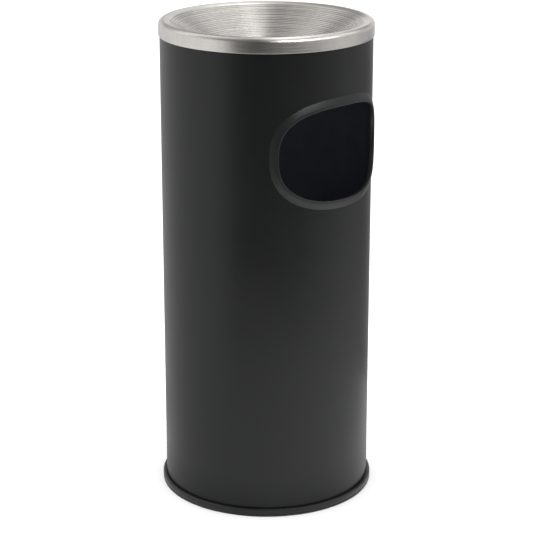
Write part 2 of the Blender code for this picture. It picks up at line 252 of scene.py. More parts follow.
def bevelled(made, width, segments=2):
    """Rounds a piece's sharp edges."""
    modifier = made.modifiers.new("rounded_edges", "BEVEL")
    modifier.width = width
    modifier.segments = segments
    modifier.limit_method = "ANGLE"
    modifier.angle_limit = math.radians(40)
    modifier.harden_normals = True
    return made


# Materials ----------------------------------------------------------------------------------
class Nodes:
    """A material's node tree, with short ways to add nodes and join them."""

    def __init__(self, name):
        self.material = bpy.data.materials.new(name)
        self.material.use_nodes = True
        self.tree = self.material.node_tree
        self.shader = self.tree.nodes["Principled BSDF"]

    def add(self, kind, **settings):
        node = self.tree.nodes.new("ShaderNode" + kind)
        for key, value in settings.items():
            setattr(node, key, value)
        return node

    def join(self, source, target):
        self.tree.links.new(source, target)

    def maths(self, operation, first, second=None):
        """A Math node on numbers or sockets."""
        node = self.add("Math", operation=operation)
        for place, value in enumerate((first, second)):
            if value is None:
                continue
            if isinstance(value, (int, float)):
                node.inputs[place].default_value = value
            else:
                self.join(value, node.inputs[place])
        return node.outputs[0]

    def place(self):
        """The point on the piece, in metres, in the row frame at rest."""
        return self.add("TexCoord").outputs["Object"]

    def xyz(self):
        """A point's x, y and z, in metres."""
        split = self.add("SeparateXYZ")
        self.join(self.place(), split.inputs[0])
        return split.outputs

    def leanings(self):
        """How far a point lies to the camera's right and away from the camera, in metres."""
        x, y, _ = self.xyz()
        right = self.maths("ADD", self.maths("MULTIPLY", x, RIGHT.x), self.maths("MULTIPLY", y, RIGHT.y))
        ahead = self.maths("ADD", self.maths("MULTIPLY", x, AHEAD.x), self.maths("MULTIPLY", y, AHEAD.y))
        return right, ahead

    def height(self):
        """A point's height, in metres."""
        return self.xyz()[2]

    def radius(self):
        """How far a point lies from the bin's axis, in metres."""
        x, y, _ = self.xyz()
        squares = self.maths("ADD", self.maths("MULTIPLY", x, x), self.maths("MULTIPLY", y, y))
        return self.maths("MAXIMUM", self.maths("SQRT", squares), 0.0001)

    def turned_place(self, around, across):
        """A place on a turned piece with no seam: slow round the axis, fast across it."""
        x, y, z = self.xyz()
        radius = self.radius()
        joined = self.add("CombineXYZ")
        self.join(self.maths("MULTIPLY", self.maths("DIVIDE", x, radius), around), joined.inputs[0])
        self.join(self.maths("MULTIPLY", self.maths("DIVIDE", y, radius), around), joined.inputs[1])
        depth = self.maths("SUBTRACT", radius, z)
        self.join(self.maths("MULTIPLY", depth, across), joined.inputs[2])
        return joined.outputs[0]

    def noise(self, vector, scale, detail=2.0, roughness=0.5):
        node = self.add("TexNoise")
        node.inputs["Scale"].default_value = scale
        node.inputs["Detail"].default_value = detail
        node.inputs["Roughness"].default_value = roughness
        self.join(vector, node.inputs["Vector"])
        return node.outputs["Fac"]

    def remap(self, value, low, high, to_low, to_high):
        """Maps a value from one range to another, and holds it there."""
        node = self.add("MapRange")
        for key, number in (("From Min", low), ("From Max", high), ("To Min", to_low), ("To Max", to_high)):
            node.inputs[key].default_value = number
        self.join(value, node.inputs["Value"])
        return node.outputs["Result"]

    def ramp(self, value, stops):
        """A colour ramp through (position, colour) stops."""
        node = self.add("ValToRGB")
        elements = node.color_ramp.elements
        while len(elements) < len(stops):
            elements.new(0.5)
        for element, (position, colour) in zip(elements, stops):
            element.position = position
            element.color = (*colour, 1.0)
        self.join(value, node.inputs["Fac"])
        return node.outputs["Color"]

    def bump(self, height, strength, distance, before=None):
        node = self.add("Bump")
        node.inputs["Strength"].default_value = strength
        node.inputs["Distance"].default_value = distance
        self.join(height, node.inputs["Height"])
        if before:
            self.join(before, node.inputs["Normal"])
        return node.outputs["Normal"]

    def set(self, **values):
        """Sets the shader's sockets, by name with underscores for spaces."""
        for key, value in values.items():
            socket = self.shader.inputs[key.replace("_", " ")]
            if isinstance(value, bpy.types.NodeSocket):
                self.join(value, socket)
            else:
                socket.default_value = value


def powder_coat():
    """Satin black powder coat: a faint orange peel, and gloss that varies a little."""
    n = Nodes("powder_coat")
    place = n.place()
    peel = n.noise(place, 420, 3)
    grain = n.noise(place, 2600, 2)
    cloud = n.noise(place, 14, 3)
    colour = n.ramp(cloud, [(0.3, (0.0048, 0.0052, 0.0058)), (0.7, (0.0060, 0.0064, 0.0071))])
    relief = n.bump(grain, 0.08, 0.12 * MM, n.bump(peel, 0.08, 0.25 * MM))
    n.set(Base_Color=colour, Roughness=n.remap(cloud, 0.3, 0.7, 0.29, 0.33), Normal=relief)
    n.set(Specular_IOR_Level=0.31)
    return n.material


def inside_painted_lift():
    """The dull coat inside the wall, coloured far paler than the outer coat as painted light that lifts the
    shaded interior.
    """
    n = Nodes("inside_painted_lift")
    place = n.place()
    cloud = n.noise(place, 40, 4)
    # painted light: this grey, far paler than the outer coat, stands in for light inside the wall
    colour = n.ramp(cloud, [(0.3, (0.062, 0.067, 0.086)), (0.7, (0.077, 0.083, 0.106))])
    n.set(Base_Color=colour, Roughness=n.remap(cloud, 0.3, 0.7, 0.70, 0.80))
    n.set(Normal=n.bump(n.noise(place, 900, 2), 0.15, 0.2 * MM), Specular_IOR_Level=0.25)
    return n.material


def moulded_black():
    """Black moulded plastic with a fine spark-eroded grain."""
    n = Nodes("moulded_black")
    place = n.place()
    grain = n.noise(place, 1700, 4, 0.7)
    cloud = n.noise(place, 30, 3)
    colour = n.ramp(cloud, [(0.3, (0.0065, 0.0070, 0.0072)), (0.7, (0.0085, 0.0090, 0.0092))])
    n.set(Base_Color=colour, Roughness=n.remap(grain, 0.35, 0.65, 0.30, 0.38))
    n.set(Normal=n.bump(grain, 0.12, 0.10 * MM), Specular_IOR_Level=0.41)
    return n.material


def spun_stainless():
    """Stainless steel, spun: fine rings round the axis, which stretch the lights across them. The troughs
    between the bowl's ridges are darkened in the colour, as painted shade."""
    n = Nodes("spun_stainless")
    rings = n.noise(n.turned_place(1.5, 1600), 1.0, 3, 0.6)
    patches = n.noise(n.turned_place(9, 60), 1.0, 4, 0.6)
    colour = n.ramp(patches, [(0.3, (0.61, 0.585, 0.555)), (0.7, (0.69, 0.665, 0.635))])
    inwards = n.maths("SUBTRACT", RIDGE_START, n.radius())
    wave = n.maths("COSINE", n.maths("MULTIPLY", inwards, math.tau / RIDGE_PITCH))
    ridged = n.maths("GREATER_THAN", inwards, 0.0)
    # painted shade: the colour is darkened by up to a third in the troughs between the ridges
    painted_trough_shade = n.maths("MULTIPLY", ridged, n.remap(wave, -1, 1, 0.34, 0.0))
    mixed = n.add("Mix", data_type="RGBA", blend_type="MULTIPLY")
    mixed.inputs["B"].default_value = (0, 0, 0, 1)
    n.join(painted_trough_shade, mixed.inputs["Factor"])
    n.join(colour, mixed.inputs["A"])
    n.set(Base_Color=mixed.outputs["Result"])
    n.set(Metallic=1.0, Roughness=n.remap(rings, 0.3, 0.7, 0.24, 0.34))
    n.set(Normal=n.bump(rings, 0.10, 0.05 * MM), Anisotropic=0.50, Anisotropic_Rotation=0.25)
    tangent = n.add("Tangent", direction_type="RADIAL", axis="Z")
    n.join(tangent.outputs[0], n.shader.inputs["Tangent"])
    return n.material


def galvanised():
    """Hot-dip galvanised sheet, with its zinc spangle."""
    n = Nodes("galvanised")
    place = n.place()
    cells = n.add("TexVoronoi")
    cells.inputs["Scale"].default_value = 130
    cells.inputs["Randomness"].default_value = 1.0
    n.join(place, cells.inputs["Vector"])
    split = n.add("SeparateColor")
    n.join(cells.outputs["Color"], split.inputs[0])
    spangle = split.outputs[0]
    streak = n.noise(place, 25, 4)
    mixed = n.maths("ADD", n.maths("MULTIPLY", spangle, 0.6), n.maths("MULTIPLY", streak, 0.4))
    colour = n.ramp(mixed, [(0.2, (0.40, 0.42, 0.44)), (0.8, (0.60, 0.62, 0.64))])
    n.set(Base_Color=colour, Metallic=1.0, Roughness=n.remap(spangle, 0, 1, 0.34, 0.52))
    n.set(Normal=n.bump(n.noise(place, 700, 3), 0.12, 0.1 * MM))
    return n.material


def zinc_plate():
    """Bright zinc plate on drawn wire and rivets, a little dulled in patches."""
    n = Nodes("zinc_plate")
    place = n.place()
    patches = n.noise(place, 260, 4)
    colour = n.ramp(patches, [(0.3, (0.50, 0.51, 0.53)), (0.7, (0.64, 0.65, 0.67))])
    n.set(Base_Color=colour, Metallic=1.0, Roughness=n.remap(patches, 0.3, 0.7, 0.24, 0.40))
    n.set(Normal=n.bump(n.noise(place, 1900, 3), 0.08, 0.06 * MM))
    return n.material


COAT = powder_coat()
INSIDE_PAINTED_LIFT = inside_painted_lift()
PLASTIC = moulded_black()
STAINLESS = spun_stainless()
GALVANISED = galvanised()
ZINC = zinc_plate()


# The waste opening's outline ----------------------------------------------------------------
def opening_outline(steps):
    """Evenly spaced points of the trim's outer outline, each with its outward direction."""
    fine = []
    for i in range(6000):
        turn = math.tau * (i + 0.5) / 6000
        x = math.copysign(abs(math.cos(turn)) ** (2 / OPENING_POWER), math.cos(turn))
        z = math.copysign(abs(math.sin(turn)) ** (2 / OPENING_POWER), math.sin(turn))
        across = math.copysign(abs(x) ** (OPENING_POWER - 1), x) / OPENING_HALF_WIDTH
        up = math.copysign(abs(z) ** (OPENING_POWER - 1), z) / OPENING_HALF_HEIGHT
        size = math.hypot(across, up)
        point = (x * OPENING_HALF_WIDTH, z * OPENING_HALF_HEIGHT)
        fine.append((point, (across / size, up / size)))
    lengths = [0.0]
    for (here, _), (there, _) in zip(fine, fine[1:]):
        lengths.append(lengths[-1] + math.dist(here, there))
    found = []
    index = 0
    for step in range(steps):
        while lengths[index] < lengths[-1] * step / steps:
            index += 1
        found.append(fine[index])
    return found


def on_wall(point, outward, inset, radius):
    """An outline point moved in by inset and wrapped round the wall at that radius."""
    angle = (point[0] - outward[0] * inset) / WALL_RADIUS
    height = OPENING_CENTRE_Z + point[1] - outward[1] * inset
    return (radius * math.sin(angle), -radius * math.cos(angle), height)


# The bin's pieces ---------------------------------------------------------------------------
def wall():
    """The rolled wall, with a weld bead down the back, a folded top hem and the waste opening."""
    back = math.pi / 2
    seam = [-1.6, -1.1, -0.8, -0.5, -0.25, 0, 0.25, 0.5, 0.8, 1.1, 1.6]
    columns = [math.tau * i / ROUND for i in range(ROUND)]
    columns = [a for a in columns if abs(a - back) * WALL_RADIUS > 1.7 * MM]
    columns = sorted(columns + [back + s * MM / WALL_RADIUS for s in seam])

    bead_width = 0.75 * MM
    bead_height = 0.14 * MM

    def bead(angle, radius, height):
        across = (angle - back) * WALL_RADIUS / bead_width
        return bead_height * math.exp(-across * across)

    inner = WALL_RADIUS - SHEET
    hem = inner - 0.9 * MM
    hem_foot = WALL_TOP - 10 * MM
    lip = 0.4 * MM
    outer_rows = [WALL_FOOT + (WALL_TOP - lip - WALL_FOOT) * i / 36 for i in range(37)]
    inner_rows = [WALL_FOOT + (hem_foot - WALL_FOOT) * i / 18 for i in range(19)]
    outline = [(WALL_RADIUS, z) for z in outer_rows]
    outline += arc((WALL_RADIUS - lip, WALL_TOP - lip), lip, 30, 90, 2)
    outline += arc((hem + lip, WALL_TOP - lip), lip, 90, 180, 3)
    outline += [(hem, hem_foot)]
    outline += [(inner, z) for z in reversed(inner_rows)]
    edge = opening_outline(180)
    inset = TRIM_WIDTH - 1.8 * MM
    rings = []
    for radius in (WALL_RADIUS - 12 * MM, WALL_RADIUS + 12 * MM):
        ring = [on_wall(p, out, inset, radius) for p, out in edge]
        rings.append((ring, (0, -radius, OPENING_CENTRE_Z)))
    rows = [[rings[0][1]], rings[0][0], rings[1][0], [rings[1][1]]]
    cutter = rows_to_mesh("cutter", rows)
    mesh = carved(turned("wall", outline, columns, swell=bead), [cutter])
    made = piece("wall_coated", mesh, [COAT, INSIDE_PAINTED_LIFT], "bin_body", ["body_shell"])
    # faces turned inwards take the paler inside coat, which is painted light
    for face in made.data.polygons:
        outwards = face.normal.x * face.center.x + face.normal.y * face.center.y
        face.material_index = 1 if outwards < 0 else 0
    return made


def trim():
    """The moulded edging round the opening: a domed flange, a raised inner lip and a back flange."""
    top = WALL_RADIUS + TRIM_PROUD
    outside = WALL_RADIUS + 0.1 * MM
    inside = WALL_RADIUS - SHEET - 0.4 * MM
    back = WALL_RADIUS - 2.8 * MM
    lip = TRIM_WIDTH
    section = [(0.0, outside)]
    section += arc((0.3 * MM, outside), 0.3 * MM, 180, 110, 3)
    for i in range(7):
        share = i / 6
        inset = 0.4 * MM + (lip - 3.0 * MM) * share
        section.append((inset, top - 2.55 * MM + 2.40 * MM * (1.12 * share - 0.12 * share * share)))
    section += [(lip - 2.3 * MM, top - 0.20 * MM)]
    section += arc((lip - 1.3 * MM, top - 1.3 * MM), 1.3 * MM, 120, 0, 9)
    section += arc((lip - 0.7 * MM, back + 0.7 * MM), 0.7 * MM, 0, -90, 4)
    section += arc((lip - 5.3 * MM, back + 0.7 * MM), 0.7 * MM, -90, -180, 4)
    section += [(lip - 6.0 * MM, inside), (lip - 1.5 * MM, inside), (lip - 1.5 * MM, outside)]
    rows = []
    for point, outward in opening_outline(220):
        rows.append([on_wall(point, outward, inset, radius) for inset, radius in section])
    mesh = rows_to_mesh("trim", rows, along=True, sharp=50)
    return piece("trim_moulded", mesh, [PLASTIC], "bin_body", ["opening_trim"])


def foot():
    """The moulded foot ring, with a rounded shoulder, a shallow waist line and the wall's channel."""
    groove_outer = WALL_RADIUS + 0.25 * MM
    groove_inner = PLATE_RADIUS - SHEET - GAP
    floor = WALL_FOOT - GAP
    inner = 120.5 * MM
    outline = arc((inner + 0.6 * MM, 0.6 * MM), 0.6 * MM, 180, 270, 3)
    outline += arc((FOOT_RADIUS - 1.0 * MM, 1.0 * MM), 1.0 * MM, -90, 0, 5)
    outline += [(FOOT_RADIUS, 2.6 * MM), (FOOT_RADIUS - 0.25 * MM, 2.9 * MM)]
    outline += [(FOOT_RADIUS - 0.25 * MM, 3.3 * MM), (FOOT_RADIUS, 3.6 * MM)]
    outline += arc((FOOT_RADIUS - 1.9 * MM, FOOT_HEIGHT - 1.9 * MM), 1.9 * MM, 0, 80, 7)
    outline += arc((groove_outer + 0.4 * MM, FOOT_HEIGHT - 0.4 * MM), 0.4 * MM, 90, 180, 3)
    outline += [(groove_outer, floor), (groove_inner, floor)]
    outline += [(groove_inner, 7.7 * MM), (inner, 7.7 * MM)]
    mesh = turned("foot", outline, ROUND)
    return piece("foot_ring_moulded", mesh, [PLASTIC], "bin_body", ["foot_ring"])


def plate():
    """The pressed floor plate, with a raised centre, a pressed ring and a turned-down flange."""
    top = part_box("floor_plate")[1].z
    low = top - 3.0 * MM
    upper = [(0, top), (40 * MM, top)]
    upper += [(41.5 * MM, top - 0.9 * MM), (46 * MM, top - 0.9 * MM), (47.5 * MM, top)]
    upper += [(96 * MM, top), (97.2 * MM, top - 0.4 * MM), (99.6 * MM, low + 0.4 * MM), (101 * MM, low)]
    shoulder = PLATE_RADIUS - 1.2 * MM
    upper += arc((shoulder, low - 1.2 * MM), 1.2 * MM, 90, 0, 5)
    upper += [(PLATE_RADIUS, WALL_FOOT)]
    lower = [(PLATE_RADIUS - SHEET, WALL_FOOT)]
    lower += arc((shoulder, low - 1.2 * MM), 0.4 * MM, 0, 90, 3)
    lower += [(100.6 * MM, low - SHEET), (99.0 * MM, low - 0.4 * MM), (96.6 * MM, top - 1.2 * MM)]
    lower += [(95.6 * MM, top - SHEET), (48 * MM, top - SHEET), (46.5 * MM, top - 1.7 * MM)]
    lower += [(41 * MM, top - 1.7 * MM), (39.6 * MM, top - SHEET), (0, top - SHEET)]
    mesh = turned("plate", upper + lower, ROUND)
    return piece("floor_plate_pressed", mesh, [COAT], "bin_body", ["floor_plate"])


# The dish -----------------------------------------------------------------------------------
def bowl(below, ridged):
    """The cone and the flat of the bowl, from the crest's collar inwards."""
    cone = math.atan(BOWL_SLOPE)
    collar = math.atan(COLLAR_SLOPE)
    start_r = CREST_CENTRE_R - CREST_RADIUS * math.sin(collar)
    start_z = CREST_RADIUS * (math.cos(collar) - 1)
    first_z = start_z - COLLAR_SLOPE * (start_r - RIDGE_START)
    points = []
    steps = RIDGES * 8 if ridged else 12
    for i in range(steps + 1):
        run = (RIDGE_START - BOWL_END_RADIUS) * i / steps
        lift = -below
        if ridged:
            wave = math.cos(math.tau * run / RIDGE_PITCH)
            uneven = 1 + 0.25 * math.sin(2.4 * (i // 8)) + 0.15 * math.sin(5.1 * (i // 8))
            lift += RIDGE_HEIGHT * uneven * (wave - 1) / 2
        r = RIDGE_START - run
        z = first_z - BOWL_SLOPE * run
        points.append((r - lift * math.sin(cone), z + lift * math.cos(cone)))
    fillet = BOWL_FILLET + below
    end_r, end_z = points[-1]
    centre = (end_r - fillet * math.sin(cone), end_z + fillet * math.cos(cone))
    points += arc(centre, fillet, -90 + math.degrees(cone), -90, 7)[1:]
    return [(r, TOTAL_HEIGHT + z) for r, z in points]


def dish():
    """The spun dish: hemmed skirt, rolled crest, shallow collar and ridged cone."""
    crest = (CREST_CENTRE_R, TOTAL_HEIGHT - CREST_RADIUS)
    end = 90 + math.degrees(math.atan(COLLAR_SLOPE))
    foot_z = TOTAL_HEIGHT - SKIRT_DEPTH
    hem = (RIM_RADIUS - HEM_RADIUS, foot_z + HEM_RADIUS)
    upper = arc(hem, HEM_RADIUS, -90, 0, 4)
    upper += [(RIM_RADIUS, foot_z + share * (crest[1] - foot_z)) for share in (0.25, 0.3, 0.65)]
    upper += arc(crest, CREST_RADIUS, 0, end, 22) + bowl(0, True)
    upper += [(12 * MM, upper[-1][1]), (6 * MM, upper[-1][1]), (0, upper[-1][1])]
    lower = arc(hem, HEM_RADIUS, -90, -180, 4)[1:]
    lower += [(hem[0] - HEM_RADIUS, foot_z + 3.0 * MM), (RIM_RADIUS - THIN_SHEET, foot_z + 3.4 * MM)]
    lower += arc(crest, CREST_RADIUS - THIN_SHEET, 0, end, 14) + bowl(THIN_SHEET, False)
    lower += [(0, lower[-1][1])]
    mesh = turned("dish", upper[::-1] + lower, ROUND, sharp=50)
    return piece("ash_dish_spun", mesh, [STAINLESS], "dish", ["ash_dish"])


# The liner ----------------------------------------------------------------------------------
def liner_wall():
    """The galvanised wall: rolled rim, two swaged beads and a folded seam down the back."""
    back = math.pi / 2
    seam = [-3.6, -3.2, -2.6, 2.6, 3.2, 3.6]
    columns = [math.tau * i / LINER_ROUND for i in range(LINER_ROUND)]
    columns = [a for a in columns if abs(a - back) * LINER_RADIUS > 3.7 * MM]
    columns = sorted(columns + [back + s * MM / LINER_RADIUS for s in seam])
    low = LINER_FOOT + 12 * MM
    high = LINER_TOP - 44 * MM
    fold_height = 0.9 * MM
    fold_half_width = 3.3 * MM

    def fold(angle, radius, height):
        if radius < LINER_RADIUS - 0.1 * MM or not low < height < high:
            return 0
        across = abs(angle - back) * LINER_RADIUS
        return fold_height if across < fold_half_width else 0

    bead_heights = [LINER_FOOT + 70 * MM, LINER_FOOT + 215 * MM]
    bead_width = 7 * MM
    bead_swell = 1.1 * MM
    outer = []
    inner = []
    for bead_z in bead_heights:
        for i in range(9):
            share = i / 8
            swell = bead_swell * math.sin(share * math.pi) ** 2
            outer.append((LINER_RADIUS + swell, bead_z + bead_width * (share - 0.5)))
            inner.append((LINER_INNER_RADIUS + swell, bead_z + bead_width * (share - 0.5)))
    for height in (low, low + 0.4 * MM, high - 0.4 * MM, high):
        outer.append((LINER_RADIUS, height))
    outer.sort(key=lambda point: point[1])
    outline = [(LINER_INNER_RADIUS, LINER_FOOT), *inner]
    outline += arc(RIM_CENTRE, RIM_CURL, 180, -110, 26)
    outline += arc(RIM_CENTRE, RIM_CURL - THIN_SHEET, -110, 180, 24)
    outline += [*reversed(outer), (LINER_RADIUS, LINER_FOOT)]
    mesh = turned("liner_wall", outline, columns, swell=fold)
    return piece("liner_wall_rolled", mesh, [GALVANISED], "liner", ["liner_wall"])


def liner_rim_wire():
    """The wire inside the rolled rim."""
    outline = arc(RIM_CENTRE, RIM_WIRE, 0, 337.5, 15)
    mesh = turned("liner_rim_wire", outline, LINER_ROUND)
    return piece("liner_rim_wire_drawn", mesh, [ZINC], "liner", ["liner_rim_wire"])


def liner_floor():
    """The liner's floor, dished a little, with a ring pressed in it and a turned-down flange."""
    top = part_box("liner_floor")[1].z
    edge = LINER_INNER_RADIUS - GAP
    low = LINER_FOOT + GAP
    upper = [(0, top), (60 * MM, top), (61.5 * MM, top - 1.0 * MM), (66 * MM, top - 1.0 * MM)]
    upper += [(67.5 * MM, top)]
    upper += [*arc((edge - 1.2 * MM, top - 1.2 * MM), 1.2 * MM, 90, 0, 5), (edge, low)]
    lower = [(edge - THIN_SHEET, low), *arc((edge - 1.2 * MM, top - 1.2 * MM), 0.6 * MM, 0, 90, 3)]
    lower += [(67.9 * MM, top - THIN_SHEET), (66.4 * MM, top - 1.6 * MM), (61.1 * MM, top - 1.6 * MM)]
    lower += [(59.6 * MM, top - THIN_SHEET), (0, top - THIN_SHEET)]
    mesh = turned("liner_floor", upper + lower, LINER_ROUND)
    return piece("liner_floor_pressed", mesh, [GALVANISED], "liner", ["liner_floor"])


def bar_x(radius, x, y, z, length, sides=40):
    """A round bar along X, to cut a hole with."""
    rows = []
    for end in (-0.5, 0.5):
        row = []
        for k in range(sides):
            turn = math.tau * k / sides
            row.append((x + end * length, y + radius * math.cos(turn), z + radius * math.sin(turn)))
        rows.append(row)
    return rows_to_mesh("bar", rows, caps=True)


def ear(name):
    """A pressed lug, with its eye for the bail and rounded edges."""
    low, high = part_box(name)
    middle = (low.x + high.x) / 2
    top = arc((0, PIVOT_Z), 7.5 * MM, 0, 180, 20)
    foot_corners = arc((-7 * MM, low.z + 3 * MM), 3 * MM, 180, 270, 5)
    foot_corners += arc((7 * MM, low.z + 3 * MM), 3 * MM, 270, 360, 5)
    outline = [(-10 * MM, PIVOT_Z - 13 * MM), *foot_corners, (10 * MM, PIVOT_Z - 13 * MM), *top]
    faces_x = (low.x + 0.02 * MM, high.x - 0.02 * MM)
    rows = [[(x, y, z) for y, z in outline] for x in faces_x]
    cutters = [bar_x(2.7 * MM, middle, 0, PIVOT_Z, 8 * MM)]
    mesh = carved(rows_to_mesh(name, rows, caps=True), cutters)
    made = piece(name + "_pressed", mesh, [GALVANISED], "liner", [name])
    return bevelled(made, 0.3 * MM)


def rivet(node):
    """A rivet with two domed heads."""
    low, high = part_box(node)
    centre = (low + high) / 2
    head = (high.y - low.y) / 2
    shank = 1.6 * MM
    dome = 1.4 * MM
    outline = []
    for i in range(7):
        turn = math.pi / 2 * i / 6
        outline.append((low.x + dome * (1 - math.cos(turn)), head * math.sin(turn)))
    inner = [(low.x + dome, shank), (high.x - dome, shank)]
    outline = outline + inner + [(low.x + high.x - x, r) for x, r in reversed(outline)]
    rows = []
    for x, r in outline:
        if r == 0:
            rows.append([(x, centre.y, centre.z)])
            continue
        turns = [math.tau * k / 28 for k in range(28)]
        rows.append([(x, centre.y + r * math.cos(t), centre.z + r * math.sin(t)) for t in turns])
    mesh = rows_to_mesh(node, rows, sharp=50)
    return piece(node + "_domed", mesh, [ZINC], "liner", [node])


# The bail -----------------------------------------------------------------------------------
def on_bail(x, y, z):
    """A point given in the bail's own plane, turned to where the bail lies at rest."""
    cos, sin = math.cos(BAIL_TILT), math.sin(BAIL_TILT)
    return (x, y * cos - z * sin, PIVOT_Z + y * sin + z * cos)


def bail():
    """The wire handle: hooked, headed ends through the ears and a half circle between them."""
    half = [(BAIL_HOOK_X, 0.0, BAIL_HOOK * share) for share in (1, 0.97, 0.85, 0.8)]
    for x, z in arc((BAIL_HOOK_X + BAIL_BEND, BAIL_BEND), BAIL_BEND, 180, 270, 10):
        half.append((x, 0.0, z))
    for x, y in arc((BAIL_RADIUS - BAIL_BEND, BAIL_BEND), BAIL_BEND, -90, 0, 10):
        half.append((x, y, 0.0))
    start = math.degrees(math.asin(BAIL_BEND / BAIL_RADIUS))
    for x, y in arc((0, 0), BAIL_RADIUS, start, 90, 48)[1:]:
        half.append((x, y, 0.0))
    points = half + [(-x, y, z) for x, y, z in reversed(half[:-1])]
    radii = [BAIL_WIRE] * len(points)
    for place, radius in ((0, 0.80), (1, 0.97)):
        radii[place] = radii[-1 - place] = BAIL_WIRE * radius
    mesh = tube("bail", [on_bail(*p) for p in points], radii, 20)
    return piece("bail_drawn", mesh, [ZINC], "bail_handle", ["bail"])


def grip():
    """The moulded sleeve on the bail, with rounded lips and shallow finger waists."""
    steps = 72
    sides = 32
    bore = BAIL_WIRE + 0.2 * MM
    rows = []
    for step in range(steps + 1):
        share = step / steps
        turn = math.pi / 2 + GRIP_HALF_ANGLE * (2 * share - 1)
        from_end = min(share, 1 - share) * 2 * GRIP_HALF_ANGLE * BAIL_RADIUS
        waist = 0.45 * MM * (0.5 - 0.5 * math.cos(math.tau * 4 * share))
        radius = GRIP_RADIUS - (waist if from_end > 2 * MM else 0)
        if from_end < 1.2 * MM:
            radius -= 0.8 * MM * (1 - from_end / (1.2 * MM)) ** 2
        rows.append([(turn, radius, math.tau * k / sides) for k in range(sides)])
    for share in (1, 0):
        turn = math.pi / 2 + GRIP_HALF_ANGLE * (2 * share - 1)
        rows.append([(turn, bore, math.tau * k / sides) for k in range(sides)])
    placed_rows = []
    for row in rows:
        points = []
        for turn, radius, around in row:
            out = BAIL_RADIUS + radius * math.cos(around)
            height = radius * math.sin(around)
            points.append(on_bail(out * math.cos(turn), out * math.sin(turn), height))
        placed_rows.append(points)
    mesh = rows_to_mesh("grip", placed_rows, along=True, sharp=50)
    return piece("bail_grip_moulded", mesh, [PLASTIC], "bail_handle", ["bail_grip"])


# The studio ---------------------------------------------------------------------------------
def bearing(azimuth, elevation, distance):
    """A point seen from the bin's middle at an azimuth from the camera's, positive to its right."""
    angle = CAMERA_AZIMUTH + math.radians(azimuth)
    up = math.radians(elevation)
    return Vector((
        distance * math.cos(up) * math.sin(angle),
        -distance * math.cos(up) * math.cos(angle),
        LIGHT_AIM.z + distance * math.sin(up),
    ))


def softbox(name, azimuth, elevation, distance, width, height, power):
    """A soft rectangular light that faces the bin, and that reflections leave out."""
    light = bpy.data.lights.new(name, "AREA")
    light.shape = "RECTANGLE"
    light.size = width
    light.size_y = height
    light.energy = power
    made = bpy.data.objects.new(name, light)
    bpy.context.scene.collection.objects.link(made)
    made.location = bearing(azimuth, elevation, distance)
    made.visible_glossy = False
    aim = LIGHT_AIM - made.location
    made.rotation_euler = aim.to_track_quat("-Z", "Y").to_euler()


def reflector(name, mesh):
    """A surface of the studio, which only reflections show."""
    made = placed(name, mesh)
    made.visible_camera = False
    made.visible_diffuse = False
    made.visible_shadow = False
    return made


def glow(n, strength):
    """Makes a material a plain glow, of a strength that may vary over it."""
    n.set(Base_Color=(0, 0, 0, 1), Roughness=1.0, Specular_IOR_Level=0.0)
    n.set(Emission_Color=(1, 1, 1, 1), Emission_Strength=strength)


def panel(name, azimuth, elevation, distance, width, height, strength):
    """A bright rectangle that faces the bin, which only reflections show."""
    middle = bearing(azimuth, elevation, distance)
    away = (middle - LIGHT_AIM).normalized()
    across = away.cross(Vector((0, 0, 1))).normalized() * width / 2
    up = across.cross(away).normalized() * height / 2
    corners = [middle - across - up, middle + across - up, middle + across + up, middle - across + up]
    mesh = bpy.data.meshes.new(name)
    mesh.from_pydata(corners, [], [(0, 1, 2, 3)])
    n = Nodes(name)
    glow(n, strength)
    mesh.materials.append(n.material)
    reflector(name, mesh)


def by_bearing(n, shades):
    """A grey that goes by the bearing from the camera, through (degrees, grey) stops."""
    right, ahead = n.leanings()
    angle = n.maths("ARCTAN2", right, n.maths("MULTIPLY", ahead, -1))
    stops = [((turn + 180) / 360, (grey, grey, grey)) for turn, grey in shades]
    return n.ramp(n.remap(angle, -math.pi, math.pi, 0, 1), stops)


def by_lean(n, lean, reach, shades):
    """A grey that goes by how far a direction leans one way, through (share of reach, grey) stops."""
    stops = [((share + 1) / 2, (grey, grey, grey)) for share, grey in shades]
    return n.ramp(n.remap(lean, -reach, reach, 0, 1), stops)


